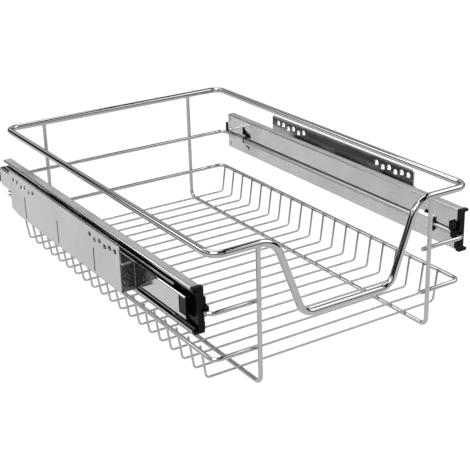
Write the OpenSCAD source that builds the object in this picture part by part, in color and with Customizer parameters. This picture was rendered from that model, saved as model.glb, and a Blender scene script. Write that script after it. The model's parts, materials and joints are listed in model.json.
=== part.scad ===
// Pull out cabinet basket: a chromed wire basket hung between two
// ball-bearing telescopic slides.  Millimetres, +Z up, the front faces -Y.
// The origin is on the floor under the middle of the closed basket.

/* [Basket] */
// Width of the top rim, between the middles of its tubes
basket_w = 290; // [240:1:360]
// Depth of the top rim, between the middles of its tubes
basket_d = 458; // [420:1:500]
// Height of the middle of the top rim above the floor
rim_z = 139.5; // [125:0.5:180]
// Thickness of the top rim tube
rim_tube = 7; // [5:0.5:9]
// Bend radius of the rim at its four corners
rim_corner_r = 13; // [9:1:24]
// Thickness of the two bottom wires that run front to back
base_wire = 4.4; // [3:0.2:6]
// Distance from the basket's middle to each bottom wire
base_wire_x = 98.7; // [86:0.1:106]
// Bend radius where a bottom wire turns up
base_bend_r = 8; // [5:1:20]
// Thickness of the middle and lower ring wires
ring_wire = 4.4; // [3:0.2:5]
// Height of the middle ring wire above the floor
middle_z = 83.5; // [76:0.5:96]
// Height of the lower ring wire above the floor
lower_z = 37.6; // [26:0.2:50]
// Corner radius of the two ring wires
ring_corner_r = 8; // [6:1:14]
// How far a ring wire runs past its front upright
ring_end = 4.7; // [3:0.1:12]

/* [Front dip] */
// Height of the middle of the dip's floor above the floor
dip_z = 58; // [48:1:80]
// Half width of the dip's floor, to the corner of its slopes
dip_half_w = 50.9; // [30:0.1:60]
// Slope of the dip's two sides, in degrees from level
dip_slope = 69.5; // [60:0.5:80]
// Bend radius at the dip's two shoulders
dip_top_r = 24; // [14:1:28]
// Bend radius at the dip's floor
dip_low_r = 17; // [10:1:24]

/* [Cross wires] */
// Number of cross wires in the basket's floor
cross_count = 20; // [14:1:24]
// Thickness of a cross wire
cross_wire = 2.2; // [2:0.2:3.6]
// Distance from the middle of the rim's rear tube to the last cross wire
cross_rear_gap = 16.5; // [14:0.5:24]
// Distance from the middle of the rim's front tube to the first cross wire
cross_front_gap = 32; // [20:1:48]
// How much a cross wire leans in from the ring to the floor
cross_lean = 5; // [2:0.5:12]
// Bend radius of a cross wire
cross_bend_r = 4; // [3:0.5:8]

/* [Slides] */
// Height of the middle of both slides above the floor
slide_z = 87; // [84:0.5:96]
// Height of the drawer rail
drawer_rail_h = 44; // [43:0.5:48]
// Depth of the drawer rail
drawer_rail_depth = 10.4; // [10.2:0.1:11]
// Distance from the middle of the rim's rear tube to the drawer rail's end
rail_rear_gap = 16; // [15:0.5:24]
// Distance from the middle of the rim's front tube to the drawer rail's end
rail_front_gap = 15; // [14:0.5:20]
// Sheet thickness of the drawer and cabinet rails
rail_sheet = 1.2; // [1:0.05:1.3]
// Distance from the drawer rail's front end to the middle rail's front end
middle_front_gap = 28; // [24:0.5:34]
// Sheet thickness of the middle rail
middle_sheet = 1; // [0.8:0.05:1.1]
// Distance from the drawer rail's front end to the cabinet rail's front end
cabinet_front_gap = 7; // [6:0.5:12]
// Ball size between the drawer rail and the middle rail
outer_ball = 4.8; // [4.4:0.1:5]
// Ball size between the middle rail and the cabinet rail
inner_ball = 3.6; // [3.2:0.1:3.8]
// Length of a ball cage
cage_l = 200; // [150:1:204]
// Sheet thickness of a ball cage
cage_sheet = 0.6; // [0.5:0.05:0.7]

/* [Mounting plates] */
// Gap between a slide and its mounting plate
plate_gap = 14.4; // [8:0.1:24]
// Distance from the drawer rail's rear end to the plate's rear edge
plate_rear_gap = 63; // [50:1:76]
// Length of a plate
plate_l = 267; // [262:1:300]
// Height of a plate
plate_h = 46; // [44:1:60]
// Sheet thickness of a plate
plate_t = 1.5; // [1.2:0.1:2]
// Height of the upper row of screw holes above the middle of the slide
hole_rise = 22.5; // [21:0.5:26]
// Diameter of a screw hole
hole_d = 6.5; // [5:0.1:7]
// Distance between the two groups of screw holes
hole_group_pitch = 192; // [180:1:196]
// Distance between neighbouring screw holes
hole_pitch = 10.65; // [9.5:0.05:10.9]
// Step between the upper and the lower row of holes
hole_step = 2.3; // [1:0.1:3]
// Distance between the three brackets behind a plate
bracket_pitch = 85; // [70:1:95]

/* [Hidden] */
function cross_name(i) = str("cross_wire_", i < 10 ? "0" : "", i);
$fn = 48;

chrome = "#d9dcdf";
zinc = "#b9bcba";
zinc_dull = "#a7aaa6";
black_plastic = "#17181a";
bearing_steel = "#cfd3d6";

bend_step = 0.02;
bend_reach = 0.1;

half_w = basket_w / 2;
half_d = basket_d / 2;
rim_r = rim_tube / 2;
base_r = base_wire / 2;
ring_r = ring_wire / 2;
cross_r = cross_wire / 2;

// The ring wires lie against the inner side of the uprights.
ring_y = half_d - base_r - ring_r;
cross_z = base_wire + cross_r;
cross_pitch = (basket_d - cross_rear_gap - cross_front_gap) / (cross_count - 1);

// The dip's shoulders start where its slopes' bends meet the level rim.
dip_top_half_w = dip_half_w + (rim_z - dip_z) / tan(dip_slope);
dip_shoulder_x = dip_top_half_w + dip_top_r * tan(dip_slope / 2);

// A slide's section is drawn as [outward, up] from the inner face of the
// drawer rail's web, at the slide's middle height.
wire_gap = 0.05;
wire_proud = 0.35;
groove_v = middle_z - slide_z;
groove_depth = ring_r - wire_proud;
wire_u = -wire_proud - wire_gap;
middle_ring_x = half_w + 3.35;
web_x = middle_ring_x - wire_u;
sheet_bend_r = 1.2;
running_gap = 0.05;
drawer_lip = 2.4;
middle_lip = 2;
outer_ball_v = drawer_rail_h / 2 - rail_sheet - outer_ball / 2 - running_gap;
outer_ball_u = drawer_rail_depth - rail_sheet - outer_ball / 2 - running_gap;
outer_cage_u = rail_sheet + groove_depth + 0.25;
middle_web_u = outer_cage_u + cage_sheet + 0.3;
middle_half_h = outer_ball_v - outer_ball / 2 - running_gap;
inner_cage_u = middle_web_u + middle_sheet + 0.3;
cabinet_flange_u = inner_cage_u + cage_sheet + 0.5;
inner_ball_v = middle_half_h - middle_sheet - inner_ball / 2 - running_gap;
inner_ball_u = cabinet_flange_u + inner_ball / 2 - 0.2;
middle_depth = inner_ball_u + inner_ball / 2 + running_gap + middle_sheet;
cabinet_half_h = inner_ball_v - inner_ball / 2 - running_gap;
slide_depth = middle_depth + 0.4 + rail_sheet;
pocket_gap = 0.15;
pocket_rim = 0.6;

// Where each piece of a slide starts and ends when the basket is closed.
rail_rear_y = half_d - rail_rear_gap;
rail_front_y = rail_front_gap - half_d;
middle_rear_y = rail_rear_y - 5;
middle_front_y = rail_front_y + middle_front_gap;
middle_rail_l = middle_rear_y - middle_front_y;
cabinet_rear_y = rail_rear_y + 9;
cabinet_front_y = rail_front_y + cabinet_front_gap;
cabinet_rail_l = cabinet_rear_y - cabinet_front_y;

// The middle rail moves by half of the basket's travel.  The outer cage moves
// by three quarters and the inner cage by one quarter of it, so each starts a
// quarter of the travel and a little more behind the front of the rail that
// it moves out on.
travel = 380;
outer_cage_front_y = middle_front_y + travel / 4 + 5;
inner_cage_front_y = cabinet_front_y + travel / 4 + 12;
ball_pitch = 20.5;
ball_edge = 7;
balls_a_row = floor((cage_l - 2 * ball_edge) / ball_pitch) + 1;

// Straps pressed out of the drawer rail's web hold the middle ring wire:
// where each starts, its length and its half height.
rear_strap_gap = 23;
front_strap_gap = 64;
rear_strap = [rail_rear_y - rear_strap_gap, 16, 5];
front_strap = [rail_front_y + front_strap_gap, 31, 9];
window_l = 13;
window_step_l = 6.5;
window_low = 6.3;
window_top = 17;
strap_u = wire_u - ring_r - 0.2 - rail_sheet / 2;
end_slot_gap = 4.5;
end_slot_w = 1.8;
end_slot_h = 5.5;

cap_l = 4;
cap_wall = 3;
cap_bar = 6.5;
cap_join = 1.4;
cap_proud = 0.5;
cap_r = 1;
plug_l = 18;
runner_h = 4.6;
runner_l = 38;
claw_t = 4;
hook_t = 5.5;
hook_wall = 2.4;
wire_clear = 0.3;

// A block on the front cap fills a notch in the end of the cabinet rail's
// web when the basket is closed.  The notch reaches from low to high.
notch_l = 10;
notch_low = -7;
notch_high = 9.5;
notch_gap = 0.6;
block_l = 10;

plate_inner_u = slide_depth + plate_gap;
plate_outer_u = plate_inner_u + plate_t;
plate_top_z = slide_z + hole_rise + 7.5;
plate_low_z = plate_top_z - plate_h;
plate_rear_y = rail_rear_y - plate_rear_gap;
plate_corner_r = 3;
plate_front_y = plate_rear_y - plate_l;
rear_chamfer = [14, 2.5];
rear_hole_gap = 13.2;
first_hole_y = plate_rear_y - rear_hole_gap;
// Which holes are in the lower row, from the rear to the front.
rear_group = [0, 0, 1, 0, 1, 0];
front_group = [0, 1, 0, 1, 0, 0];
bracket_t = 1.5;
bracket_h = 24;
bracket_z = slide_z - 1.5;
bracket_foot = 15;
bracket_bend_r = 1.6;
rear_bracket_gap = 41;
first_bracket_y = plate_rear_y - rear_bracket_gap;
slit_gap = 0.35;
tenon_recess = 0.6;

// The bracket at the plate's front end is taller, and its foot lies in front
// of it and is cut off at a slope.
front_bracket_low = 1;
front_bracket_h = 27;
front_foot = 39;
front_foot_low = 3.5;
rivet_r = 1.8;
rivet_head_r = 3;
rivet_head = 0.8;
rivet_spread = 5.2;

// ---------------------------------------------------------------- helpers

function unit(v) = v / norm(v);
function left_of(v) = [-v[1], v[0]];
function turn_of(a, b) = atan2(a[0] * b[1] - a[1] * b[0], a * b);
function angle_of(v) = atan2(v[1], v[0]);
function flat(lists) = [for (list = lists) each list];

// What one corner of a bent path needs: its turn, the length that its bend
// takes from each leg, the bend's centre and the angle that it starts at.
function corner(path, i, r) =
    let (a = unit(path[i] - path[i - 1]), b = unit(path[i + 1] - path[i]))
    let (turn = turn_of(a, b), hand = sign(turn), cut = r * tan(abs(turn) / 2))
    let (start = path[i] - cut * a, centre = start + hand * r * left_of(a))
    [turn, cut, centre, angle_of(start - centre)];

// A round wire bent in the XY plane along a path, with one radius per corner.
// A bend is a hair thinner than the legs and reaches a little into them.
module bent_wire(path, wire_r, radii) {
    last = len(path) - 1;
    cuts = [for (i = [0:last]) i == 0 || i == last ? 0 : corner(path, i, radii[i])[1]];
    for (i = [0:last - 1]) {
        along = unit(path[i + 1] - path[i]);
        start = path[i] + cuts[i] * along;
        length = norm(path[i + 1] - path[i]) - cuts[i] - cuts[i + 1];
        if (length > bend_reach)
            translate([start[0], start[1], 0])
                rotate([0, 90, angle_of(along)])
                    cylinder(r = wire_r, h = length);
    }
    for (i = [1:last - 1]) {
        bend = corner(path, i, radii[i]);
        reach = bend_reach / radii[i] * 180 / PI;
        translate([bend[2][0], bend[2][1], 0])
            rotate((bend[0] > 0 ? bend[3] : bend[3] + bend[0]) - reach)
                rotate_extrude(angle = abs(bend[0]) + 2 * reach)
                    translate([radii[i], 0])
                        circle(r = wire_r - bend_step);
    }
}

// One side of a bent sheet's outline; side is 1 on the left of the path.
function sheet_side(path, t, r, side) =
    let (last = len(path) - 1, steps = 5)
    let (a = unit(path[1] - path[0]), b = unit(path[last] - path[last - 1]))
    concat(
        [path[0] + side * t / 2 * left_of(a)],
        flat([for (i = [1:last - 1])
            let (bend = corner(path, i, r), edge_r = r - side * sign(bend[0]) * t / 2)
            [for (k = [0:steps])
                let (at = bend[3] + bend[0] * k / steps)
                bend[2] + edge_r * [cos(at), sin(at)]]]),
        [path[last] + side * t / 2 * left_of(b)]);

function reversed(list) = [for (i = [len(list) - 1:-1:0]) list[i]];

// The section of a sheet of thickness t that is bent along a path.
module bent_sheet(path, t, r) {
    polygon(concat(sheet_side(path, t, r, 1), reversed(sheet_side(path, t, r, -1))));
}

// A slide's section, run from its rear end towards the front.
module along_slide(rear_y, length) {
    translate([web_x, rear_y, slide_z])
        rotate([90, 0, 0])
            linear_extrude(length)
                children();
}

// Parts are drawn for the right-hand slide; the left one is its mirror.
module on_side(hand) {
    if (hand == "left") mirror([1, 0, 0]) children();
    else children();
}

// A box with its rounded edges along X.
module plate_blank(x0, x1, y0, y1, z0, z1, r) {
    translate([x0, 0, 0])
        rotate([90, 0, 90])
            linear_extrude(x1 - x0)
                union() {
                    translate([y0 + r, z0]) square([y1 - y0 - 2 * r, z1 - z0]);
                    translate([y0, z0 + r]) square([y1 - y0, z1 - z0 - 2 * r]);
                    for (y = [y0 + r, y1 - r], z = [z0 + r, z1 - r])
                        translate([y, z]) circle(r = r);
                }
}

// ----------------------------------------------------------------- basket

// The rim is one tube: level round three sides, dipped at the front.
module top_rim() {
    color(chrome) {
        translate([0, 0, rim_z])
            bent_wire([
                [-dip_shoulder_x, -half_d], [-half_w, -half_d], [-half_w, half_d],
                [half_w, half_d], [half_w, -half_d], [dip_shoulder_x, -half_d]],
                rim_r, [for (i = [0:5]) rim_corner_r]);
        translate([0, -half_d, 0])
            rotate([90, 0, 0])
                bent_wire([
                    [-dip_shoulder_x, rim_z], [-dip_top_half_w, rim_z], [-dip_half_w, dip_z],
                    [dip_half_w, dip_z], [dip_top_half_w, rim_z], [dip_shoulder_x, rim_z]],
                    rim_r, [0, dip_top_r, dip_low_r, dip_low_r, dip_top_r, 0]);
    }
}

// A ring wire starts behind one front upright, goes round the basket and
// ends behind the other.
module ring_wire_at(x, z) {
    end_x = base_wire_x - ring_end;
    color(chrome)
        translate([0, 0, z])
            bent_wire([
                [-end_x, -ring_y], [-x, -ring_y], [-x, ring_y],
                [x, ring_y], [x, -ring_y], [end_x, -ring_y]],
                ring_r, [for (i = [0:5]) ring_corner_r]);
}

module middle_ring_wire() ring_wire_at(middle_ring_x, middle_z);

module lower_ring_wire() ring_wire_at(half_w, lower_z);

// A base wire runs under the cross wires and turns up to the rim at both
// ends, where it is coped to the rim tube.
module base_wire_on(hand) {
    color(chrome)
        on_side(hand)
            difference() {
                translate([base_wire_x, 0, 0])
                    rotate([90, 0, 90])
                        bent_wire([
                            [-half_d, rim_z], [-half_d, base_r], [half_d, base_r], [half_d, rim_z]],
                            base_r, [0, base_bend_r, base_bend_r, 0]);
                for (y = [-half_d, half_d])
                    translate([base_wire_x - base_wire, y, rim_z])
                        rotate([0, 90, 0])
                            cylinder(r = rim_r, h = 2 * base_wire);
            }
}

// A cross wire hangs inside the lower ring and lies on the base wires.
module cross_wire_number(i) {
    top_x = half_w - ring_r - cross_r;
    low_x = top_x - cross_lean;
    top_z = lower_z + ring_r;
    color(chrome)
        translate([0, half_d - cross_rear_gap - (i - 1) * cross_pitch, 0])
            rotate([90, 0, 0])
                bent_wire([
                    [-top_x, top_z], [-low_x, cross_z], [low_x, cross_z], [top_x, top_z]],
                    cross_r, [0, cross_bend_r, cross_bend_r, 0]);
}

// ----------------------------------------------------------------- slides

// The drawer rail is a channel that opens outwards.  Its web has a groove
// for the middle ring wire, and its lips keep the outer balls in.
module drawer_rail_section() {
    lip_u = drawer_rail_depth - rail_sheet / 2;
    flange_v = (drawer_rail_h - rail_sheet) / 2;
    lip_v = drawer_rail_h / 2 - drawer_lip;
    face_u = rail_sheet / 2;
    floor_u = face_u + groove_depth;
    bent_sheet([
        [lip_u, lip_v], [lip_u, flange_v], [face_u, flange_v],
        [face_u, groove_v + ring_r + 1.4], [floor_u, groove_v + ring_r - 0.7],
        [floor_u, groove_v - ring_r + 0.7], [face_u, groove_v - ring_r - 1.4],
        [face_u, -flange_v], [lip_u, -flange_v], [lip_u, -lip_v]],
        rail_sheet, sheet_bend_r);
}

module strap_section(half_h) {
    face_u = rail_sheet / 2;
    bent_sheet([
        [face_u, groove_v + half_h], [strap_u, groove_v + half_h - 3],
        [strap_u, groove_v - half_h + 3], [face_u, groove_v - half_h]],
        rail_sheet, sheet_bend_r);
}

// An opening in the web beside a strap, as [distance in front of the strap's
// rear end, height over the wire's middle].
module web_opening(strap, outline) {
    translate([web_x - 1, strap[0], slide_z + groove_v])
        rotate([90, 0, 90])
            linear_extrude(rail_sheet + 2)
                polygon([for (p = outline) [-p[0], p[1]]]);
}

module drawer_rail(hand) {
    over_wire = ring_r + 1.9;
    step_x = rear_strap[1] + 1;
    color(zinc)
        on_side(hand)
            difference() {
                union() {
                    along_slide(rail_rear_y, rail_rear_y - rail_front_y) drawer_rail_section();
                    for (strap = [rear_strap, front_strap])
                        along_slide(strap[0], strap[1]) strap_section(strap[2]);
                }
                web_opening(rear_strap, [
                    [step_x, over_wire], [step_x + window_l, over_wire], [step_x + window_l, 11],
                    [step_x + 5, 12.8], [step_x, 14], [step_x - 0.5, window_top],
                    [step_x - window_step_l, window_top - 0.8], [step_x - window_step_l, window_low],
                    [step_x, window_low]]);
                web_opening(rear_strap, [
                    [18, -6.2], [24.5, -6.2], [27, -8], [27, -11], [24, -11], [23.2, -8.6], [18, -7.6]]);
                web_opening(front_strap, [[15, 7.5], [27, 5.8], [27, 11.6], [18, 12.4]]);
                for (low = [-18.5, 14])
                    translate([web_x - 1, rail_rear_y - end_slot_gap - end_slot_w, slide_z + low])
                        cube([rail_sheet + 2, end_slot_w, end_slot_h]);
            }
}

// A black moulding closes the channel's front end.  Inside the channel it
// has a plug plate, a runner in each ball race and a block that fills the
// notch of the cabinet rail.  On the basket's side it has a claw on the web,
// and a hook over the middle ring wire where the wire leaves the rail.
module front_cap(hand) {
    back_y = rail_front_y - running_gap;
    inner_half_h = drawer_rail_h / 2 + cap_proud - cap_wall;
    race_half_h = drawer_rail_h / 2 - rail_sheet - running_gap;
    runner_u = rail_sheet / 2 + sheet_bend_r + 0.1;
    plug_u = rail_sheet + groove_depth + running_gap;
    plug_t = 2.2;
    over_wire = groove_v + ring_r + wire_clear;
    under_wire = groove_v - ring_r - wire_clear;
    hook_back = 3.5;
    hook_low = under_wire - 1;
    mouth_t = hook_t - hook_wall;
    way_l = cap_l + hook_back + 2;
    block_y = cabinet_front_y + notch_l - notch_gap;
    block_low = notch_low + notch_gap;
    color(black_plastic)
        on_side(hand)
            difference() {
                union() {
                    along_slide(back_y, cap_l)
                        difference() {
                            cap_outline();
                            translate([cap_bar - cap_proud, -inner_half_h])
                                square([drawer_rail_depth, 2 * inner_half_h]);
                        }
                    along_slide(back_y + plug_l, plug_l + cap_join)
                        translate([plug_u, -race_half_h]) square([plug_t, 2 * race_half_h]);
                    along_slide(block_y, block_l)
                        translate([plug_u, block_low])
                            square([slide_depth - notch_gap - plug_u, notch_high - notch_gap - block_low]);
                    for (v = [-race_half_h, race_half_h - runner_h])
                        along_slide(back_y + runner_l, runner_l + cap_join)
                            translate([runner_u, v])
                                square([drawer_rail_depth - 2 * runner_u, runner_h]);
                    cap_grip([
                        [8, 8.4], [6.2, 9.2], [5.2, 7.4], [1.6, 7.4], [1.2, 9.6], [-1.5, 10],
                        [-1.5, over_wire], [7.5, over_wire], [7.5, 6.8]], claw_t);
                    cap_grip([
                        [hook_back, over_wire + 2.4], [-cap_l, over_wire + 2.4],
                        [-cap_l, hook_low], [hook_back, hook_low]], hook_t);
                    cap_grip([
                        [2, -12], [-cap_l, -12], [-cap_l, 1 - race_half_h], [2, 1 - race_half_h]],
                        cap_proud + 0.4);
                }
                // The wire's way through the hook, and the hook's mouth below it.
                translate([web_x - mouth_t, back_y - cap_l - 1, slide_z + under_wire])
                    cube([mouth_t + groove_depth + 0.1, way_l, over_wire - under_wire]);
                translate([web_x - mouth_t, back_y - cap_l - 1, slide_z + hook_low - 1])
                    cube([mouth_t - cap_proud, way_l, under_wire - hook_low + 2]);
            }
}

// The cap's outline, which stands a little proud of the drawer rail.
module cap_outline() {
    x0 = -cap_proud;
    x1 = drawer_rail_depth;
    half_h = drawer_rail_h / 2 + cap_proud;
    translate([x0, cap_r - half_h]) square([x1 - x0, 2 * (half_h - cap_r)]);
    translate([x0 + cap_r, -half_h]) square([x1 - x0 - 2 * cap_r, 2 * half_h]);
    for (u = [x0 + cap_r, x1 - cap_r], v = [cap_r - half_h, half_h - cap_r])
        translate([u, v]) circle(r = cap_r);
}

// A flat on the basket's side of the drawer rail, as [distance behind the
// rail's front end, height over the slide's middle].
module cap_grip(outline, t) {
    translate([web_x - t, rail_front_y, slide_z])
        rotate([90, 0, 90])
            linear_extrude(t - running_gap)
                polygon(outline);
}

module middle_rail(hand) {
    lip_u = middle_depth - middle_sheet / 2;
    flange_v = middle_half_h - middle_sheet / 2;
    lip_v = middle_half_h - middle_lip;
    face_u = middle_web_u + middle_sheet / 2;
    color(zinc_dull)
        on_side(hand)
            along_slide(middle_rear_y, middle_rail_l)
                bent_sheet([
                    [lip_u, lip_v], [lip_u, flange_v], [face_u, flange_v],
                    [face_u, -flange_v], [lip_u, -flange_v], [lip_u, -lip_v]],
                    middle_sheet, 1);
}

// A rubber stop inside the front end of the middle rail.
module middle_stop(hand) {
    stop_l = 6;
    stop_u = middle_web_u + middle_sheet;
    color(black_plastic)
        on_side(hand)
            along_slide(middle_front_y + stop_l, stop_l)
                translate([stop_u, -8]) square([4.5, 16]);
}

// The cabinet rail opens inwards and is riveted to the brackets.  Its web has
// a notch at the front end.
module cabinet_rail(hand) {
    face_u = slide_depth - rail_sheet / 2;
    flange_v = cabinet_half_h - rail_sheet / 2;
    color(zinc)
        on_side(hand)
            difference() {
                along_slide(cabinet_rear_y, cabinet_rail_l)
                    bent_sheet([
                        [cabinet_flange_u, flange_v], [face_u, flange_v],
                        [face_u, -flange_v], [cabinet_flange_u, -flange_v]],
                        rail_sheet, sheet_bend_r);
                each_rivet() rivet_hole();
                translate([web_x + cabinet_flange_u + rail_sheet, cabinet_front_y - 1, slide_z + notch_low])
                    cube([slide_depth, notch_l + 1, notch_high - notch_low]);
            }
}

// A black buffer that stands out of the rear end of the cabinet rail.
module rear_buffer(hand) {
    buffer_proud = 8;
    buffer_l = 24;
    buffer_h = 14;
    color(black_plastic)
        on_side(hand)
            along_slide(cabinet_rear_y + buffer_proud, buffer_l)
                translate([cabinet_flange_u, -buffer_h / 2 - 1.5])
                    square([slide_depth - rail_sheet - cabinet_flange_u, buffer_h]);
}

// A cage is a thin channel with a row of pockets in each flange.
module ball_cage(hand, cage_u, row_v, ball_u, ball_d, front_y) {
    end_u = ball_u + ball_d / 2 + pocket_gap + pocket_rim;
    face_u = cage_u + cage_sheet / 2;
    color(bearing_steel)
        on_side(hand)
            difference() {
                along_slide(front_y + cage_l, cage_l)
                    bent_sheet([
                        [end_u, row_v], [face_u, row_v], [face_u, -row_v], [end_u, -row_v]],
                        cage_sheet, 0.8);
                ball_rows(ball_u, row_v, front_y)
                    cylinder(r = ball_d / 2 + pocket_gap, h = 4 * cage_sheet, center = true);
            }
}

module ball_rows(ball_u, row_v, front_y) {
    for (i = [0:balls_a_row - 1], v = [-row_v, row_v])
        translate([web_x + ball_u, front_y + ball_edge + i * ball_pitch, slide_z + v])
            children();
}

module outer_ball_cage(hand)
    ball_cage(hand, outer_cage_u, outer_ball_v, outer_ball_u, outer_ball, outer_cage_front_y);

module inner_ball_cage(hand)
    ball_cage(hand, inner_cage_u, inner_ball_v, inner_ball_u, inner_ball, inner_cage_front_y);

module outer_balls(hand)
    color(bearing_steel)
        on_side(hand)
            ball_rows(outer_ball_u, outer_ball_v, outer_cage_front_y) sphere(d = outer_ball);

module inner_balls(hand)
    color(bearing_steel)
        on_side(hand)
            ball_rows(inner_ball_u, inner_ball_v, inner_cage_front_y) sphere(d = inner_ball);

// -------------------------------------------------------- mounting plates

module each_bracket() {
    for (i = [0:2])
        translate([0, first_bracket_y - i * bracket_pitch, 0])
            children();
}

module each_rivet() {
    each_bracket()
        for (dz = [-rivet_spread, rivet_spread])
            translate([web_x + slide_depth, bracket_foot / 2 + 1, bracket_z + dz])
                rotate([0, 90, 0])
                    children();
}

module rivet_hole() cylinder(r = rivet_r + running_gap, h = 8, center = true);

// The plate carries two groups of screw holes, and a slit for the tenon of
// each bracket.
module mounting_plate(hand) {
    rear_low = [plate_rear_y, plate_low_z];
    slit_w = bracket_t + 2 * slit_gap;
    slit_h = bracket_h + 2 * slit_gap;
    color(zinc)
        on_side(hand)
            difference() {
                plate_blank(web_x + plate_inner_u, web_x + plate_outer_u,
                    plate_front_y, plate_rear_y, plate_low_z, plate_top_z, plate_corner_r);
                translate([web_x + plate_inner_u - 1, 0, 0])
                    rotate([90, 0, 90])
                        linear_extrude(plate_t + 2)
                            polygon([
                                rear_low - [rear_chamfer[0], 0], rear_low - [rear_chamfer[0], 1],
                                rear_low + [1, -1], rear_low + [1, rear_chamfer[1]],
                                rear_low + [0, rear_chamfer[1]]]);
                for (i = [0:5]) {
                    screw_hole(first_hole_y - i * hole_pitch, rear_group[i]);
                    screw_hole(first_hole_y - hole_group_pitch - i * hole_pitch, front_group[i]);
                }
                each_bracket()
                    translate([web_x + plate_inner_u - 1, -slit_w / 2, bracket_z - slit_h / 2])
                        cube([plate_t + 2, slit_w, slit_h]);
            }
}

module screw_hole(y, is_low) {
    translate([web_x + plate_inner_u - 1, y, slide_z + hole_rise - is_low * hole_step])
        rotate([0, 90, 0])
            cylinder(d = hole_d, h = plate_t + 2);
}

// Four angle brackets hold the plate clear of the slide.  Three have a foot
// riveted to the cabinet rail and a tenon in a slit of the plate.  The fourth
// closes the space at the plate's front end.
module offset_brackets(hand) {
    foot_x = web_x + slide_depth + bracket_t / 2;
    color(zinc_dull)
        on_side(hand) {
            difference() {
                each_bracket()
                    translate([0, 0, bracket_z - bracket_h / 2])
                        linear_extrude(bracket_h)
                            bent_sheet([
                                [foot_x, bracket_foot], [foot_x, 0],
                                [web_x + plate_outer_u - tenon_recess, 0]],
                                bracket_t, bracket_bend_r);
                each_rivet() rivet_hole();
            }
            translate([foot_x, plate_front_y - bracket_t / 2, plate_low_z + front_bracket_low])
                front_bracket(plate_outer_u - slide_depth - bracket_t / 2);
        }
}

module front_bracket(reach) {
    difference() {
        linear_extrude(front_bracket_h)
            bent_sheet([[0, -front_foot], [0, 0], [reach, 0]], bracket_t, bracket_bend_r);
        translate([-bracket_t, 0, 0])
            rotate([90, 0, 90])
                linear_extrude(2 * bracket_t)
                    polygon([
                        [-front_foot - 1, -1], [-bracket_bend_r, -1], [-2 * bracket_bend_r, front_foot_low],
                        [-front_foot - 1, front_bracket_h - 2]]);
    }
}

module bracket_rivets(hand) {
    color(bearing_steel)
        on_side(hand)
            each_rivet() {
                translate([0, 0, -rail_sheet]) cylinder(r = rivet_r, h = rail_sheet + bracket_t);
                translate([0, 0, -rail_sheet - rivet_head]) cylinder(r = rivet_head_r, h = rivet_head);
                translate([0, 0, bracket_t]) cylinder(r = rivet_head_r, h = rivet_head);
            }
}

// ------------------------------------------------------------------ nodes

top_rim();
middle_ring_wire();
lower_ring_wire();
for (i = [1:cross_count])
    cross_wire_number(i);
for (hand = ["left", "right"]) {
    base_wire_on(hand);
    drawer_rail(hand);
    front_cap(hand);
    middle_rail(hand);
    middle_stop(hand);
    cabinet_rail(hand);
    rear_buffer(hand);
    mounting_plate(hand);
    offset_brackets(hand);
    bracket_rivets(hand);
    outer_ball_cage(hand);
    outer_balls(hand);
    inner_ball_cage(hand);
    inner_balls(hand);
}
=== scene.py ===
# %% [markdown]
# # Pull out cabinet basket
#
# A basket of chromed wire hangs between two telescopic drawer slides.  Each slide is
# carried by an offset plate that is screwed to the side of a kitchen cabinet.  The
# construction comes ready made: every wire, rail and plate is already at its real size.
# What is left for Blender is what the eye sees, which is round bright wire with its bends
# and welds, rolled and pressed zinc-plated steel, black mouldings, and a white studio.
#
# Everything is in metres, and the front of the basket faces -Y.

# %% The ready-made parts
from math import cos, pi, radians, sin, tan

import bpy
from mathutils import Matrix, Vector
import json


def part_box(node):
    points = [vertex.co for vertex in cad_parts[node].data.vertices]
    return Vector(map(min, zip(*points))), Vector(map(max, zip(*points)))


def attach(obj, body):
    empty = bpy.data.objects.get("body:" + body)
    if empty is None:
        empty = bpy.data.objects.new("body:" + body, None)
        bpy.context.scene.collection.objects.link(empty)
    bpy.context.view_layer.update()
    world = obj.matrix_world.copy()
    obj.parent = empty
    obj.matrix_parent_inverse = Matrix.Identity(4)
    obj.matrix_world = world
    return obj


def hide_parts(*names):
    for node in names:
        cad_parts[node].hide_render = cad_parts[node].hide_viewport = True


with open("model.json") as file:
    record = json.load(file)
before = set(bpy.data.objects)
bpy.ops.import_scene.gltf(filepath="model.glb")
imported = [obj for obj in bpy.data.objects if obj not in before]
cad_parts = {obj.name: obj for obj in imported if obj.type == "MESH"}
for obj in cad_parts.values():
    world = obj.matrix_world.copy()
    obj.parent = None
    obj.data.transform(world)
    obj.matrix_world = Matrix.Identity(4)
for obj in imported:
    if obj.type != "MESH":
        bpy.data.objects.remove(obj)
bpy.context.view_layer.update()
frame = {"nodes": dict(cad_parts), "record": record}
cad_nodes = frame["nodes"]
MM = 0.001

# %% [markdown]
# ## The camera
#
# A product photograph like this one is taken with a long lens from a little over a metre
# away, so that the basket's sides stay nearly parallel.  A camera can be placed by eye, but
# wires this thin show every error.  So its place, its three angles and its lens were worked
# out from where the rim's corners and the rails' ends lie in the photograph, which is 470
# pixels wide and high.

# %% The camera
PICTURE_PX = 470
FOCAL_PX = 1092.24
SENSOR = 36.0
camera_place = Vector((-0.5718, -0.9509, 0.5055))
azimuth, elevation, roll = radians(-31.95), radians(22.49), radians(-1.68)

ahead = Vector((-sin(azimuth) * cos(elevation), cos(azimuth) * cos(elevation), -sin(elevation)))
level = ahead.cross(Vector((0, 0, 1))).normalized()
above = level.cross(ahead)
sideways = cos(roll) * level + sin(roll) * above
upwards = cos(roll) * above - sin(roll) * level

camera = bpy.data.objects.new("camera", bpy.data.cameras.new("camera"))
bpy.context.scene.collection.objects.link(camera)
camera.data.sensor_width = SENSOR
camera.data.lens = FOCAL_PX * SENSOR / PICTURE_PX
camera.data.clip_start = 0.02
camera.matrix_world = (
    Matrix.Translation(camera_place)
    @ Matrix((sideways, upwards, -ahead)).transposed().to_4x4()
)
bpy.context.scene.camera = camera
print("lens", round(camera.data.lens, 2), "mm")

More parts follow.
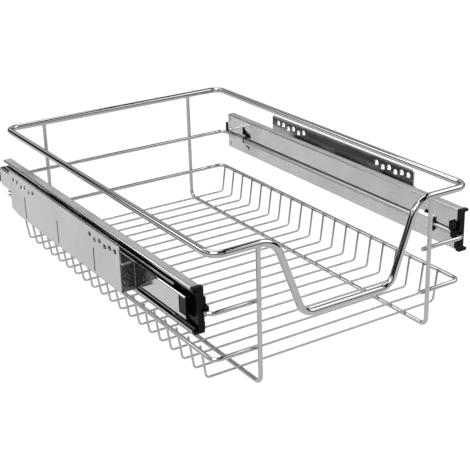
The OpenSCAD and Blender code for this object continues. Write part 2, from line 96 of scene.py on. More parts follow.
# %% [markdown]
# ## Materials
#
# Three small helpers carry all the materials.  Colours are written as the sRGB hex values
# that a paint program shows, and `linear` turns them into the light values that the
# renderer works in.  `add_node` adds one shader node, sets its options, and fills each of
# its inputs with a value or with a link from another node.  `new_material` starts an empty
# material.

# %% Colour and node helpers
def linear(hex_colour):
    """A colour written as #rrggbb, as linear light with full alpha."""
    parts = [int(hex_colour[i:i + 2], 16) / 255 for i in (1, 3, 5)]
    return [c / 12.92 if c <= 0.04045 else ((c + 0.055) / 1.055) ** 2.4 for c in parts] + [1]


def add_node(tree, kind, inputs=(), **options):
    """One node. inputs maps a socket to a value, or to (node, output) for a link."""
    node = tree.nodes.new(kind)
    for name, value in options.items():
        setattr(node, name, value)
    for socket, value in dict(inputs).items():
        if isinstance(value, tuple) and isinstance(value[0], bpy.types.Node):
            tree.links.new(value[0].outputs[value[1]], node.inputs[socket])
        else:
            node.inputs[socket].default_value = value
    return node


def new_material(name):
    """An empty material with its output node: the material, its tree and the output."""
    material = bpy.data.materials.new(name)
    material.use_nodes = True
    material.node_tree.nodes.clear()
    return material, material.node_tree, add_node(material.node_tree, "ShaderNodeOutputMaterial")


print("mid grey is", round(linear("#808080")[0], 3), "in linear light")

# %% [markdown]
# ### Chromed wire
#
# The wire is low-carbon steel, drawn through a die, bent, resistance welded and then
# plated with nickel and bright chromium.  Chromium reflects a bit more than half of the
# light that falls on it, so in a white room it is light grey and not white.  The plating
# is almost a mirror, but it follows the fine lines that the die left along the wire.  A
# metal that is the same all over looks drawn by a computer, so a noise that is stretched
# along the wire gives it a faint ripple and an uneven polish.
#
# The thin wires of the basket's floor are only two pixels wide in the picture.  A sharp
# mirror breaks up into dots there, so their chromium is rougher, which mixes what they
# reflect into one grey.

# %% Chromed wire
CHROMIUM = "#c2c4c6"


def make_chromed_wire(name, smooth, rough):
    """Bright chromium over drawn steel: a grey mirror with fine lines along the wire."""
    material, tree, output = new_material(name)
    wire_uv = add_node(tree, "ShaderNodeUVMap", uv_map="along_wire")
    # Die lines are about 0.1 mm apart, too fine to show.  On the base wires they are drawn
    # six times coarser, and each runs for some 40 mm.
    die_lines_round, line_length, line_depth = 24, 40 * MM, 0.1 * MM
    stretched = add_node(tree, "ShaderNodeMapping", {
        "Vector": (wire_uv, "UV"), "Scale": (1 / line_length, die_lines_round, 1)})
    lines = add_node(tree, "ShaderNodeTexNoise", {
        "Vector": (stretched, "Vector"), "Scale": 1.0, "Detail": 3.0, "Roughness": 0.6})
    dents = add_node(tree, "ShaderNodeBump", {
        "Height": (lines, "Fac"), "Strength": 0.05, "Distance": line_depth})
    polish = add_node(tree, "ShaderNodeMapRange", {
        "Value": (lines, "Fac"), "To Min": smooth, "To Max": rough})
    shader = add_node(tree, "ShaderNodeBsdfPrincipled", {
        "Base Color": linear(CHROMIUM), "Metallic": 1.0,
        "Roughness": (polish, "Result"), "Normal": (dents, "Normal")})
    tree.links.new(shader.outputs["BSDF"], output.inputs["Surface"])
    return material


chromed_wire = make_chromed_wire("bright_chromium_on_drawn_wire", smooth=0.05, rough=0.11)
thin_chromed_wire = make_chromed_wire("bright_chromium_on_thin_wire", smooth=0.22, rough=0.32)
print("made", chromed_wire.name, "and", thin_chromed_wire.name)

# %% [markdown]
# ### Painted shade and grease in the ball races
#
# The balls run in a film of grease, and the inside of a slide lies in shade.  Both are painted
# as one dark colour: painted shade with the grease in it.  The dark could be a thin mesh of
# its own, but then it would touch every rail.  Here the rails' own material finds it by place:
# it compares how far a point lies outwards of the drawer rail's web, and how far above or
# below the middle of the slide.  Both sides of the basket share one material, because the
# distance to the side is taken without its sign.

# %% Painted shade and grease in the ball races
# Painted shade: one dark colour for the inside of the races, standing for their shade together with
# the grease.
RACE_SHADE_AND_GREASE = "#1b1c1a"
GREASE_ROUGH = 0.38
RAIL_DEPTH = 10.4 * MM
rail_low, rail_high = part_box("right_drawer_rail")
web_x, slide_z = rail_high.x - RAIL_DEPTH, (rail_low.z + rail_high.z) / 2


def painted_shade_and_grease_in_races(tree, place, near, far, low, high):
    """1 in the painted shade and grease: near to far mm outwards of the web, low to high mm off the
    middle.
    """
    spread = add_node(tree, "ShaderNodeSeparateXYZ", {"Vector": (place, "Object")})
    side = add_node(tree, "ShaderNodeMath", {0: (spread, "X")}, operation="ABSOLUTE")
    rise = add_node(tree, "ShaderNodeMath", {0: (spread, "Z"), 1: slide_z}, operation="SUBTRACT")
    height = add_node(tree, "ShaderNodeMath", {0: (rise, "Value")}, operation="ABSOLUTE")
    shade_and_grease = None
    for distance, operation, limit in (
            (side, "GREATER_THAN", web_x + near * MM), (side, "LESS_THAN", web_x + far * MM),
            (height, "GREATER_THAN", low * MM), (height, "LESS_THAN", high * MM)):
        inside = add_node(tree, "ShaderNodeMath", {
            0: (distance, "Value"), 1: limit}, operation=operation)
        shade_and_grease = inside if shade_and_grease is None else add_node(tree, "ShaderNodeMath", {
            0: (shade_and_grease, "Value"), 1: (inside, "Value")}, operation="MULTIPLY")
    return shade_and_grease, "Value"


print("web at", round(web_x / MM, 2), "mm, middle of the slides at", round(slide_z / MM, 2), "mm")

# %% [markdown]
# ### Zinc-plated sheet
#
# The rails are rolled from cold-rolled strip and plated with bright zinc.  The strip's
# own roughness shows through the zinc, so it is a soft satin mirror: it mixes up what it
# reflects, and the mix changes slowly along the rail because no strip is quite flat.  The
# rolling lines run along the strip.  The plates are blanked from duller sheet, with the
# faint cloudiness of the plating bath.  The brackets are painted dark with pale specks: the
# dark is a painted reflection, and the specks are painted glints on their crumpled pressed skin.
#
# One function serves them all, with a noise each for the clouds, the rolling lines and the
# slow waves.  Only the colours, the polish, the sizes of clouds and waves and the rails' painted
# shade in the races differ.

# %% Zinc-plated sheet
def make_zinc(name, colour, shade, smooth, rough, cloud_mm, wave_mm, race_shade_and_grease=None):
    """Zinc over rolled strip: satin, cloudy at cloud_mm, out of flat at wave_mm."""
    material, tree, output = new_material(name)
    place = add_node(tree, "ShaderNodeTexCoord")
    clouds = add_node(tree, "ShaderNodeTexNoise", {
        "Vector": (place, "Object"), "Scale": 1 / (cloud_mm * MM),
        "Detail": 3.0, "Roughness": 0.55})
    # Rolling lines are 0.05 mm apart, too fine to show: these are 0.6 mm apart and 60 mm long.
    line_gap, line_length = 0.6 * MM, 60 * MM
    line_depth, wave_depth = 0.04 * MM, 0.6 * MM
    strip = add_node(tree, "ShaderNodeMapping", {
        "Vector": (place, "Object"), "Scale": (1 / line_gap, 1 / line_length, 1 / line_gap)})
    lines = add_node(tree, "ShaderNodeTexNoise", {
        "Vector": (strip, "Vector"), "Scale": 1.0, "Detail": 2.0})
    waves = add_node(tree, "ShaderNodeTexNoise", {
        "Vector": (place, "Object"), "Scale": 1 / (wave_mm * MM), "Detail": 1.0})
    flatness = add_node(tree, "ShaderNodeBump", {
        "Height": (waves, "Fac"), "Strength": 1.0, "Distance": wave_depth})
    grain = add_node(tree, "ShaderNodeBump", {
        "Height": (lines, "Fac"), "Strength": 0.12, "Distance": line_depth,
        "Normal": (flatness, "Normal")})
    tint = add_node(tree, "ShaderNodeMix", {
        "Factor": (clouds, "Fac"), "A": linear(colour), "B": linear(shade)}, data_type="RGBA")
    polish = add_node(tree, "ShaderNodeMapRange", {
        "Value": (clouds, "Fac"), "From Min": 0.3, "From Max": 0.7,
        "To Min": smooth, "To Max": rough})
    colour_of, polish_of = (tint, "Result"), (polish, "Result")
    if race_shade_and_grease:
        # Painted shade in the races: their inside turns dark, shade and grease together.
        shade_and_grease = painted_shade_and_grease_in_races(tree, place, **race_shade_and_grease)
        colour_of = (add_node(tree, "ShaderNodeMix", {
            "Factor": shade_and_grease, "A": colour_of, "B": linear(RACE_SHADE_AND_GREASE)}, data_type="RGBA"), "Result")
        polish_of = (add_node(tree, "ShaderNodeMix", {
            0: shade_and_grease, 2: polish_of, 3: GREASE_ROUGH}, data_type="FLOAT"), 0)
    shader = add_node(tree, "ShaderNodeBsdfPrincipled", {
        "Base Color": colour_of, "Metallic": 1.0,
        "Roughness": polish_of, "Normal": (grain, "Normal")})
    tree.links.new(shader.outputs["BSDF"], output.inputs["Surface"])
    return material


drawer_rail_zinc = make_zinc(
    "bright_zinc_on_rolled_strip", "#e4e3e2", "#c8c7c6", smooth=0.14, rough=0.24,
    cloud_mm=45, wave_mm=90, race_shade_and_grease={"near": 1.3, "far": 9.3, "low": 0, "high": 20.9})
cabinet_rail_zinc = make_zinc(
    "bright_zinc_on_cabinet_rail", "#dcdddc", "#cfd0cf", smooth=0.07, rough=0.13,
    cloud_mm=60, wave_mm=120, race_shade_and_grease={"near": 0, "far": 11.3, "low": 10.5, "high": 20})
middle_rail_zinc = make_zinc(
    "dull_zinc_on_rolled_strip", "#babcb8", "#9c9f9b", smooth=0.26, rough=0.42,
    cloud_mm=20, wave_mm=60, race_shade_and_grease={"near": 0, "far": 10.3, "low": 11.5, "high": 20})
# Painted reflection and glints: the dark colour stands for what the brackets mirror, the pale
# specks for glints.
bracket_zinc_painted_dark = make_zinc(
    "zinc_painted_dark_with_glints", "#858982", "#262b27", smooth=0.05, rough=0.14,
    cloud_mm=2.5, wave_mm=3)
plate_zinc = make_zinc(
    "bright_zinc_on_blanked_plate", "#e0e1de", "#cecfcd", smooth=0.20, rough=0.28,
    cloud_mm=40, wave_mm=160)
zincs = (drawer_rail_zinc, cabinet_rail_zinc, middle_rail_zinc, bracket_zinc_painted_dark, plate_zinc)
print("made", ", ".join(zinc.name for zinc in zincs))

# %% [markdown]
# ### Hardened steel, black moulding and rubber
#
# The balls are hardened steel, lapped until they are mirrors, and the cages are thin
# spring strip.  The black end caps are acetal, moulded in a polished tool, so they have
# glints on their edges and a faint flow mark.  The stops are rubber, which is duller and
# a little rough.  Each is one shader with a noise at the size of its own grain, because
# such small pieces only need their gloss to vary.

# %% Hardened steel
def make_steel(name, colour, smooth, rough, speck_mm):
    """Plain steel whose polish varies in specks of speck_mm."""
    material, tree, output = new_material(name)
    place = add_node(tree, "ShaderNodeTexCoord")
    specks = add_node(tree, "ShaderNodeTexNoise", {
        "Vector": (place, "Object"), "Scale": 1 / (speck_mm * MM), "Detail": 3.0})
    polish = add_node(tree, "ShaderNodeMapRange", {
        "Value": (specks, "Fac"), "To Min": smooth, "To Max": rough})
    shader = add_node(tree, "ShaderNodeBsdfPrincipled", {
        "Base Color": linear(colour), "Metallic": 1.0, "Roughness": (polish, "Result")})
    tree.links.new(shader.outputs["BSDF"], output.inputs["Surface"])
    return material


cage_steel = make_steel("spring_steel_strip", "#c2c4c3", smooth=0.16, rough=0.30, speck_mm=4)
ball_steel = make_steel("lapped_bearing_steel", "#d0d2d4", smooth=0.05, rough=0.10, speck_mm=1.5)
print("made", cage_steel.name, "and", ball_steel.name)

# %% Black moulding and rubber
ACETAL_IOR = 1.48
WEAK_GLINTS = 0.14


def make_moulding(name, colour, smooth, rough, grain_mm, grain_depth_mm):
    """A moulded polymer: coloured through, with its tool's grain on the surface."""
    material, tree, output = new_material(name)
    place = add_node(tree, "ShaderNodeTexCoord")
    grain = add_node(tree, "ShaderNodeTexNoise", {
        "Vector": (place, "Object"), "Scale": 1 / (grain_mm * MM), "Detail": 2.0})
    skin = add_node(tree, "ShaderNodeBump", {
        "Height": (grain, "Fac"), "Strength": 0.3, "Distance": grain_depth_mm * MM})
    polish = add_node(tree, "ShaderNodeMapRange", {
        "Value": (grain, "Fac"), "To Min": smooth, "To Max": rough})
    # The photograph shows weaker glints than acetal's IOR gives, so their level is lower.
    shader = add_node(tree, "ShaderNodeBsdfPrincipled", {
        "Base Color": linear(colour), "IOR": ACETAL_IOR, "Specular IOR Level": WEAK_GLINTS,
        "Roughness": (polish, "Result"), "Normal": (skin, "Normal")})
    tree.links.new(shader.outputs["BSDF"], output.inputs["Surface"])
    return material


black_acetal = make_moulding(
    "black_acetal_moulding", "#060607", smooth=0.14, rough=0.26, grain_mm=1.2, grain_depth_mm=0.02)
black_rubber = make_moulding(
    "black_rubber_moulding", "#121213", smooth=0.50, rough=0.65, grain_mm=0.6, grain_depth_mm=0.05)
print("made", black_acetal.name, "and", black_rubber.name)

# %% [markdown]
# ### Every finish by its slot
#
# The ready-made parts name the slot of their finish, so one table from slot to material
# dresses them all.

# %% Every finish by its slot
finishes = {
    "chromed_wire": chromed_wire,
    "zinc_sheet": drawer_rail_zinc,
    "dull_zinc_sheet": middle_rail_zinc,
    "dark_zinc_sheet": bracket_zinc_painted_dark,
    "zinc_plate": plate_zinc,
    "cage_steel": cage_steel,
    "bearing_steel": ball_steel,
    "black_moulding": black_acetal,
    "black_rubber": black_rubber,
}
print(len(finishes), "finishes")

# %% [markdown]
# ## Shapes
#
# A bent wire is a path of straight legs joined by arcs, and a circle that is swept along
# it.  Blender's curve objects could do it with a bevel, but their handles only come close
# to a true arc.  Working the path out from its corners keeps each bend at its real radius.

# %% Bent paths
ARC_STEP = radians(6)


def bent_path(corners, bend_radii):
    """The middle line of a bent wire: an arc at every inner corner."""
    points = [corners[0]]
    for before, corner, after, radius in zip(corners, corners[1:], corners[2:], bend_radii):
        a = (corner - before).normalized()
        b = (after - corner).normalized()
        turn = a.angle(b)
        inward = (b - a * a.dot(b)).normalized()
        centre = corner - a * radius * tan(turn / 2) + inward * radius
        steps = max(2, round(turn / ARC_STEP))
        for k in range(steps + 1):
            at = turn * k / steps
            points.append(centre + radius * (a * sin(at) - inward * cos(at)))
    points.append(corners[-1])
    return points


square_bend = bent_path([Vector((0, 0, 0)), Vector((1, 0, 0)), Vector((1, 1, 0))], [0.5])
print(len(square_bend), "points in a path with one square bend")

# %% [markdown]
# ### Sweeping a circle
#
# The sweep carries its first ring along without twisting it, and writes a UV map with the
# length along the wire and the way round it, which the die lines need.  A radius for each
# point lets one function make the wire, the small round on its sheared ends and the flare
# of a weld.

# %% Sweeping a circle
def round_faces(first, second, sides):
    """The quads between two rings of vertices that start at first and second."""
    return [
        (first + k, first + (k + 1) % sides, second + (k + 1) % sides, second + k)
        for k in range(sides)
    ]


class Shape:
    """Vertices and faces that grow as pieces are added, with the wires' UV map."""

    def __init__(self):
        self.verts, self.faces, self.uvs = [], [], []

    def add(self, verts, faces, uvs):
        start = len(self.verts)
        self.verts += verts
        self.faces += [tuple(start + i for i in face) for face in faces]
        self.uvs += uvs

    def sweep(self, points, radii, sides=24):
        """A round wire along points. radii is one radius, or one for each point."""
        count = len(points)
        if not isinstance(radii, list):
            radii = [radii] * count
        ways = [(after - before).normalized()
                for before, after in zip(points[:1] + points[:-1], points[1:] + points[-1:])]
        out = ways[0].orthogonal().normalized()
        verts, lengths = [], [0.0]
        for i in range(count):
            if i:
                out = ways[i - 1].rotation_difference(ways[i]) @ out
                lengths.append(lengths[-1] + (points[i] - points[i - 1]).length)
            across = ways[i].cross(out)
            for k in range(sides):
                at = 2 * pi * k / sides
                verts.append(points[i] + radii[i] * (out * cos(at) + across * sin(at)))
        faces, uvs = [], []
        for i in range(count - 1):
            faces += round_faces(i * sides, (i + 1) * sides, sides)
            uvs += [
                [(lengths[i], k / sides), (lengths[i], (k + 1) / sides),
                 (lengths[i + 1], (k + 1) / sides), (lengths[i + 1], k / sides)]
                for k in range(sides)
            ]
        last = (count - 1) * sides
        faces += [tuple(reversed(range(sides))), tuple(last + k for k in range(sides))]
        uvs += [[(0.0, 0.0)] * sides] * 2
        self.add(verts, faces, uvs)


def cut_end(points, radius, edge=0.3 * MM):
    """Points and radii of a wire whose two sheared ends have a small rounded edge."""
    first_way = (points[1] - points[0]).normalized()
    last_way = (points[-2] - points[-1]).normalized()
    points = ([points[0], points[0] + first_way * edge * 0.3, points[0] + first_way * edge]
              + points[1:-1]
              + [points[-1] + last_way * edge, points[-1] + last_way * edge * 0.3, points[-1]])
    rounded = [radius - edge, radius - edge * 0.3, radius]
    return points, rounded + [radius] * (len(points) - 6) + rounded[::-1]


trial = Shape()
trial.sweep(square_bend, 0.1)
print(len(trial.verts), "points and", len(trial.faces), "faces round the square bend")

# %% [markdown]
# ### Making a piece
#
# Each new piece stands for ready-made nodes, which are then hidden, and rides on the same
# body as they do, so it moves with them.  Faces are smooth, apart from edges that turn by
# more than 32 degrees.

# %% Making a piece
SHARP_EDGE = radians(32)
bodies = frame["record"]["behaviour"]["bodies"]
body_of_node = {node: body for body, members in bodies.items() for node in members}


def piece_of(name, shape, slot_name, *stands_for, finish=None):
    """A new mesh piece that stands for CAD nodes and rides on their body, with the finish of their
    slot or the one given.
    """
    mesh = bpy.data.meshes.new(name)
    mesh.from_pydata([tuple(v) for v in shape.verts], [], shape.faces)
    layer = mesh.uv_layers.new(name="along_wire")
    for polygon, corners in zip(mesh.polygons, shape.uvs):
        for loop, uv in zip(polygon.loop_indices, corners):
            layer.data[loop].uv = uv
    mesh.polygons.foreach_set("use_smooth", [True] * len(mesh.polygons))
    mesh.set_sharp_from_angle(angle=SHARP_EDGE)
    mesh.materials.append(finish or finishes[slot_name])
    mesh.validate()
    piece = bpy.data.objects.new(name, mesh)
    bpy.context.scene.collection.objects.link(piece)
    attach(piece, body_of_node[stands_for[0]])
    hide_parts(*stands_for)


# %% [markdown]
# ## The basket's wires
#
# The wires' radii and bends are named here in millimetres.  Where each wire lies is read
# from the ready-made parts, so the bright wires lie where the plain ones do.

# %% Sizes of the wires
def middle_of(node):
    """The middle of a node's box."""
    low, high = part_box(node)
    return (low + high) / 2


RIM_R = 3.5 * MM
RING_R = 2.2 * MM
BASE_R = 2.2 * MM
CROSS_R = 1.1 * MM
RIM_CORNER_R = 13 * MM
RING_CORNER_R = 8 * MM
BASE_BEND_R = 8 * MM
CROSS_BEND_R = 4 * MM

rim_low, rim_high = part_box("top_rim")
rim_x, rim_y, rim_z = rim_high.x - RIM_R, rim_high.y - RIM_R, rim_high.z - RIM_R
dip_z = rim_low.z + RIM_R
ring_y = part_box("lower_ring_wire")[1].y - RING_R
middle_ring_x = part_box("middle_ring_wire")[1].x - RING_R
middle_z = middle_of("middle_ring_wire").z
lower_z = middle_of("lower_ring_wire").z
base_x = middle_of("right_base_wire").x
base_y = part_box("right_base_wire")[1].y - BASE_R
print("rim", round(rim_x / MM, 2), round(rim_y / MM, 2), round(rim_z / MM, 2))

# %% [markdown]
# ### The rim
#
# One tube goes level round three sides and dips at the front, where a hand reaches in.
# Its two ends meet near the middle of the rear side in a butt weld, which is ground flush
# and shows as a fine line under the chrome.  The line could be a dark stripe in the
# material, but a real narrow groove catches the light by itself, so both ends of the sweep
# shrink a little.

# %% The rim
DIP_HALF_W = 50.9 * MM
DIP_SLOPE = radians(69.5)
DIP_TOP_R = 24 * MM
DIP_LOW_R = 17 * MM
SEAM_X = 3.5 * MM
GROOVE = 0.35 * MM
dip_top_half_w = DIP_HALF_W + (rim_z - dip_z) / tan(DIP_SLOPE)


def rim_path():
    """Once round the rim, from the butt weld at the rear back to it."""
    corners = [
        (SEAM_X, rim_y, rim_z), (rim_x, rim_y, rim_z), (rim_x, -rim_y, rim_z),
        (dip_top_half_w, -rim_y, rim_z), (DIP_HALF_W, -rim_y, dip_z), (-DIP_HALF_W, -rim_y, dip_z),
        (-dip_top_half_w, -rim_y, rim_z), (-rim_x, -rim_y, rim_z), (-rim_x, rim_y, rim_z),
        (SEAM_X, rim_y, rim_z)]
    radii = [RIM_CORNER_R, RIM_CORNER_R, DIP_TOP_R, DIP_LOW_R, DIP_LOW_R, DIP_TOP_R,
             RIM_CORNER_R, RIM_CORNER_R]
    return bent_path([Vector(c) for c in corners], radii)


rim = Shape()
rim_points = rim_path()
seam_way = Vector((1, 0, 0))
rim_points[:1] = [rim_points[0], rim_points[0] + seam_way * GROOVE]
rim_points[-1:] = [rim_points[-1] - seam_way * GROOVE, rim_points[-1]]
groove_r = RIM_R - GROOVE
rim.sweep(rim_points, [groove_r] + [RIM_R] * (len(rim_points) - 2) + [groove_r], sides=32)
piece_of("rim_tube", rim, "chromed_wire", "top_rim")
print("rim", len(rim.verts), "points")

# %% [markdown]
# ### Welds
#
# Where two wires cross they are resistance welded: they sink into each other a little, and
# a collar of squeezed-out metal closes the corner between them.  Cutting the wires and
# joining their skins would spoil their UV maps, so each collar is a short flared sweep that
# starts inside one wire and ends inside the other.

# %% Weld collars
COLLAR_HEIGHTS = [-1.0, -0.7, -0.35, 0.0, 0.35, 0.7, 1.0]


def weld_collar(shape, place, normal, waist, foot, reach, sides=16):
    """The collar round a spot weld at place. It flares from its waist to foot on both wires."""
    points = [place + normal * (h * reach) for h in COLLAR_HEIGHTS]
    radii = [waist + (foot - waist) * h * h for h in COLLAR_HEIGHTS]
    shape.sweep(points, radii, sides)


print(len(COLLAR_HEIGHTS), "rings in a collar")

# %% [markdown]
# ### Ring wires and base wires
#
# The two ring wires start behind one front upright and end behind the other.  The base
# wires run under the basket and turn up to the rim, where a small fillet of weld widens
# their ends.

# %% Ring wires
RING_END = 4.7 * MM


def ring_wire(x, z):
    """A ring wire, open at the front between the uprights, with its four welds."""
    end_x = base_x - RING_END
    corners = [(-end_x, -ring_y, z), (-x, -ring_y, z), (-x, ring_y, z),
               (x, ring_y, z), (x, -ring_y, z), (end_x, -ring_y, z)]
    path = bent_path([Vector(c) for c in corners], [RING_CORNER_R] * 4)
    shape = Shape()
    shape.sweep(*cut_end(path, RING_R))
    for side in (-1, 1):
        for end in (-1, 1):
            touch = Vector((side * base_x, end * (ring_y + RING_R), z))
            weld_collar(
                shape, touch, Vector((0, end, 0)), waist=1.5 * MM, foot=2.1 * MM, reach=1.0 * MM)
    return shape


piece_of("middle_ring", ring_wire(middle_ring_x, middle_z), "chromed_wire", "middle_ring_wire")
piece_of("lower_ring", ring_wire(rim_x, lower_z), "chromed_wire", "lower_ring_wire")
print("ring wires at", round(lower_z / MM, 1), "and", round(middle_z / MM, 1), "mm")

# %% Base wires
# How wide the weld fillet is, in wire radii, at each depth in millimetres below its top.
FILLET = [(0.0, 1.45), (1.2, 1.3), (1.9, 1.12), (2.8, 1.02), (3.8, 1.0)]
FILLET_SINK = 0.55


def base_wire(side):
    """A base wire, with a weld fillet where it meets the rim at both ends."""
    x = side * base_x
    top_z = rim_z - RIM_R * FILLET_SINK
    corners = [(x, -base_y, top_z), (x, -base_y, BASE_R), (x, base_y, BASE_R), (x, base_y, top_z)]
    path = bent_path([Vector(c) for c in corners], [BASE_BEND_R] * 2)
    down = Vector((0, 0, -MM))
    points = [path[0] + down * depth for depth, _ in FILLET] + path[1:-1]
    points += [path[-1] + down * depth for depth, _ in reversed(FILLET)]
    flare = [BASE_R * width for _, width in FILLET]
    shape = Shape()
    shape.sweep(points, flare + [BASE_R] * (len(path) - 2) + flare[::-1])
    return shape


piece_of("base_wire_left", base_wire(-1), "chromed_wire", "left_base_wire")
piece_of("base_wire_right", base_wire(1), "chromed_wire", "right_base_wire")
print("base wires", round(base_x / MM, 1), "mm from the middle")

# %% [markdown]
# ### Cross wires
#
# The thin cross wires make the basket's floor.  Each hangs inside the lower ring and lies
# on both base wires, with four spot welds.  All are alike, so one function makes them, and
# each reads its place from its own ready-made node.

# %% Cross wires
CROSS_LEAN = 5 * MM


def cross_wire(node):
    """One cross wire at the place of its ready-made node."""
    low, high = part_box(node)
    y = (low.y + high.y) / 2
    top_x = high.x - CROSS_R
    low_x = top_x - CROSS_LEAN
    low_z = low.z + CROSS_R
    corners = [(-top_x, y, high.z), (-low_x, y, low_z), (low_x, y, low_z), (top_x, y, high.z)]
    path = bent_path([Vector(c) for c in corners], [CROSS_BEND_R] * 2)
    shape = Shape()
    shape.sweep(*cut_end(path, CROSS_R), sides=20)
    for side in (-1, 1):
        on_base = Vector((side * base_x, y, low.z))
        on_ring = Vector((side * (rim_x - RING_R), y, lower_z))
        for touch, normal in ((on_base, Vector((0, 0, 1))), (on_ring, Vector((1, 0, 0)))):
            weld_collar(
                shape, touch, normal, waist=1.0 * MM, foot=1.35 * MM, reach=0.6 * MM, sides=12)
    return shape


cross_nodes = sorted(n for n in cad_nodes if n.startswith("cross_wire_"))
for node in cross_nodes:
    piece_of(node.replace("wire", "rod"), cross_wire(node), "chromed_wire", node,
             finish=thin_chromed_wire)
print(len(cross_nodes), "cross wires")

# %% [markdown]
# ## Finishes on the ready-made parts
#
# The rails, plates and slide parts have their full shape already, so they stay as they
# are and get their finish.  Sheet steel is never sharp, though: its sheared and rolled
# edges are a quarter of a millimetre round, and that is what draws a thin bright line
# along them.  A bevel that only takes sharp edges adds it and leaves the part alone.
# In the photograph the cabinet rail mirrors more sharply than the drawer rail, so it has a
# finish of its own.

# %% Finishes on the ready-made parts
EDGE_R = 0.25 * MM
BEVEL_ANGLE = radians(40)
EDGED = ("drawer_rail", "front_cap", "mounting_plate", "cabinet_rail", "middle_rail", "rear_buffer")

for row in frame["record"]["subparts"]:
    node, part = row["node"], cad_nodes[row["node"]]
    finish = cabinet_rail_zinc if node.endswith("cabinet_rail") else finishes[row["material_slot"]]
    for slot in part.material_slots:
        slot.material = finish
    if node.endswith(EDGED):
        rounding = part.modifiers.new("rounded_edges", "BEVEL")
        rounding.width = EDGE_R
        rounding.segments = 2
        rounding.limit_method = "ANGLE"
        rounding.angle_limit = BEVEL_ANGLE
        rounding.harden_normals = True
print(sum(len(part.modifiers) for part in cad_nodes.values()), "parts with rounded edges")

# %% [markdown]
# ## The studio
#
# The photograph was taken on white paper, and chrome shows its studio.  The lower half of
# what the wires reflect is the paper, and the upper half is the room behind and above the
# camera's view.
#
# ### The floor
#
# To the camera the paper is white, apart from the object's shadow.  A lamp bright enough
# for that would burn out the metal, so most of the white is the paper's own glow, and the
# lamps add the rest, with the shadow in it.  In the chrome of the photograph the paper is a
# light grey, so there it glows less.  To all other light it is plain white paper.  It lies
# a hair below the wires, so that they don't touch it.

# %% The floor
FLOOR_SIZE = 8.0
FLOOR_GAP = 0.2 * MM
GLOW_TO_CAMERA, GLOW_IN_METAL = 0.92, 0.62


def make_floor_material():
    """A white sweep: white to the camera except where the object's shadow lies."""
    material, tree, output = new_material("white_paper_sweep")
    rays = add_node(tree, "ShaderNodeLightPath")
    paper = add_node(tree, "ShaderNodeBsdfDiffuse", {"Color": linear("#e4e4e4")})
    shaded = add_node(tree, "ShaderNodeBsdfDiffuse", {"Color": linear("#707070")})
    strength = add_node(tree, "ShaderNodeMapRange", {
        "Value": (rays, "Is Camera Ray"), "To Min": GLOW_IN_METAL, "To Max": GLOW_TO_CAMERA})
    glow = add_node(tree, "ShaderNodeEmission", {
        "Color": linear("#ffffff"), "Strength": (strength, "Result")})
    lit = add_node(tree, "ShaderNodeAddShader", {0: (shaded, "BSDF"), 1: (glow, "Emission")})
    either = add_node(tree, "ShaderNodeMath", {
        0: (rays, "Is Camera Ray"), 1: (rays, "Is Glossy Ray")}, operation="MAXIMUM")
    mixed = add_node(tree, "ShaderNodeMixShader", {
        0: (either, "Value"), 1: (paper, "BSDF"), 2: (lit, "Shader")})
    tree.links.new(mixed.outputs["Shader"], output.inputs["Surface"])
    return material


half = FLOOR_SIZE / 2
floor_mesh = bpy.data.meshes.new("floor")
floor_mesh.from_pydata(
    [(-half, -half, 0), (half, -half, 0), (half, half, 0), (-half, half, 0)], [], [(0, 1, 2, 3)])
floor_mesh.materials.append(make_floor_material())
floor = bpy.data.objects.new("floor", floor_mesh)
bpy.context.scene.collection.objects.link(floor)
floor.location.z = -FLOOR_GAP
print("floor", FLOOR_SIZE, "m wide")

# %% [markdown]
# ### The room
#
# The bright and dark lines along the wires are the room's walls.  Two bright walls meet
# in a dark corner, about 18 degrees to the left of straight back.  Both are dark near the
# floor, bright from about 17 to 37 degrees up, and dark again at the ceiling.  The left
# wall is the brighter one above 22 degrees.  Walls built from meshes would stand in the way
# of other views, so they are painted on the sky: its Z is the height, and X over Y tells
# left from right.  The same walls come back behind the camera.  To the camera the sky is
# white.

# %% The walls of the room
LEFT_WALL = [(0.0, "#0c0c0d"), (0.24, "#141415"), (0.31, "#a0a1a2"), (0.42, "#ffffff"),
             (0.60, "#ffffff"), (0.72, "#303132"), (1.0, "#202122")]
RIGHT_WALL = [(0.0, "#0c0c0d"), (0.22, "#141415"), (0.29, "#d6d7d6"), (0.38, "#dcdddc"),
              (0.46, "#b8b9ba"), (0.60, "#b0b1b2"), (0.72, "#303132"), (1.0, "#202122")]
CORNER_SHADE = [(0.0, "#ffffff"), (0.25, "#202021"), (0.75, "#202021"), (1.0, "#ffffff")]
CORNER_SPAN = (-0.50, -0.14)
CORNER_EDGE = (-0.34, -0.26)


def stops(ramp_node, places):
    """Fills a colour ramp with (position, hex colour) pairs."""
    ramp = ramp_node.color_ramp
    while len(ramp.elements) < len(places):
        ramp.elements.new(1)
    for element, (position, colour) in zip(ramp.elements, places):
        element.position = position
        element.color = linear(colour)


def bright_walls(tree, height, across):
    """Both walls from the floor up, the left one on the left of the corner's edge."""
    left_wall = add_node(tree, "ShaderNodeValToRGB", {"Fac": height})
    stops(left_wall, LEFT_WALL)
    right_wall = add_node(tree, "ShaderNodeValToRGB", {"Fac": height})
    stops(right_wall, RIGHT_WALL)
    side = add_node(tree, "ShaderNodeMapRange", {
        "Value": across, "From Min": CORNER_EDGE[0], "From Max": CORNER_EDGE[1]})
    walls = add_node(tree, "ShaderNodeMix", {
        "Factor": (side, "Result"), "A": (left_wall, "Color"), "B": (right_wall, "Color")},
        data_type="RGBA")
    return walls, "Result"


def corner_shade(tree, across):
    """The dark corner between the walls, to be multiplied with them."""
    corner = add_node(tree, "ShaderNodeMapRange", {
        "Value": across, "From Min": CORNER_SPAN[0], "From Max": CORNER_SPAN[1]})
    shade = add_node(tree, "ShaderNodeValToRGB", {"Fac": (corner, "Result")})
    stops(shade, CORNER_SHADE)
    return shade, "Color"


print("walls of", len(LEFT_WALL), "and", len(RIGHT_WALL), "colours")

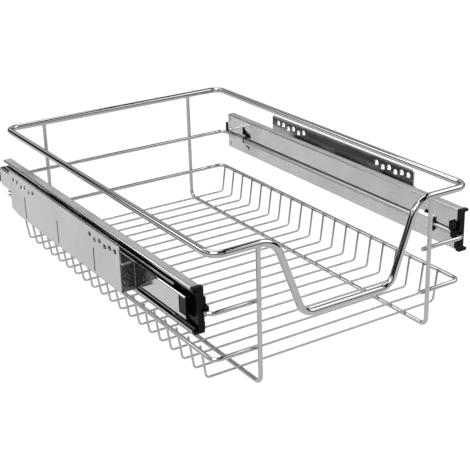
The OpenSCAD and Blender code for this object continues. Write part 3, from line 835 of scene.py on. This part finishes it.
# %% The room
def make_room():
    """White to the camera. To everything else it is a dim room with two bright walls."""
    world = bpy.data.worlds.new("studio")
    world.use_nodes = True
    tree = world.node_tree
    tree.nodes.clear()
    output = add_node(tree, "ShaderNodeOutputWorld")
    rays = add_node(tree, "ShaderNodeLightPath")
    way = add_node(tree, "ShaderNodeTexCoord")
    parts = add_node(tree, "ShaderNodeSeparateXYZ", {"Vector": (way, "Generated")})
    ratio = add_node(tree, "ShaderNodeMath", {
        0: (parts, "X"), 1: (parts, "Y")}, operation="DIVIDE")
    walls = bright_walls(tree, (parts, "Z"), (ratio, "Value"))
    shade = corner_shade(tree, (ratio, "Value"))
    room = add_node(tree, "ShaderNodeMix", {
        "Factor": 1.0, "A": walls, "B": shade}, data_type="RGBA", blend_type="MULTIPLY")
    seen = add_node(tree, "ShaderNodeMix", {
        "Factor": (rays, "Is Camera Ray"), "A": (room, "Result"), "B": linear("#ffffff")},
        data_type="RGBA")
    sky = add_node(tree, "ShaderNodeBackground", {"Color": (seen, "Result"), "Strength": 1.0})
    tree.links.new(sky.outputs["Background"], output.inputs["Surface"])
    return world


bpy.context.scene.world = make_room()
print("world", bpy.context.scene.world.name)

# %% [markdown]
# ### The lamps
#
# Three wide soft boxes light the basket from above, so that shadows stay soft and no lamp
# draws a hard dot on the wires.  A small fourth one at the rear left draws the bright line
# along the rim's long sides.

# %% The lamps
def soft_lamp(name, place, aim, size, power):
    """A square soft box that points at aim. size is in metres and power in watts."""
    data = bpy.data.lights.new(name, "AREA")
    data.shape = "SQUARE"
    data.size = size
    data.energy = power
    lamp = bpy.data.objects.new(name, data)
    bpy.context.scene.collection.objects.link(lamp)
    lamp.location = place
    lamp.rotation_euler = (Vector(aim) - Vector(place)).to_track_quat("-Z", "Y").to_euler()
    return lamp


BASKET_MIDDLE, RIM_MIDDLE = (0, 0, 0.05), (0, 0, 0.1)
lamps = [
    soft_lamp("key_lamp", (-1.2, -0.8, 1.9), BASKET_MIDDLE, size=1.2, power=26),
    soft_lamp("fill_lamp", (1.6, -0.6, 1.6), BASKET_MIDDLE, size=1.4, power=14),
    soft_lamp("top_lamp", (0.1, 0.9, 2.0), BASKET_MIDDLE, size=1.4, power=12),
    soft_lamp("rear_left_lamp", (-1.35, 1.9, 1.3), RIM_MIDDLE, size=0.6, power=2.5),
]
print(len(lamps), "lamps,", sum(lamp.data.energy for lamp in lamps), "W")

# %% [markdown]
# ## Finish
#
# The picture's colours are kept as they are.

# %% Finish
import json

bpy.context.scene.view_settings.view_transform = "Standard"
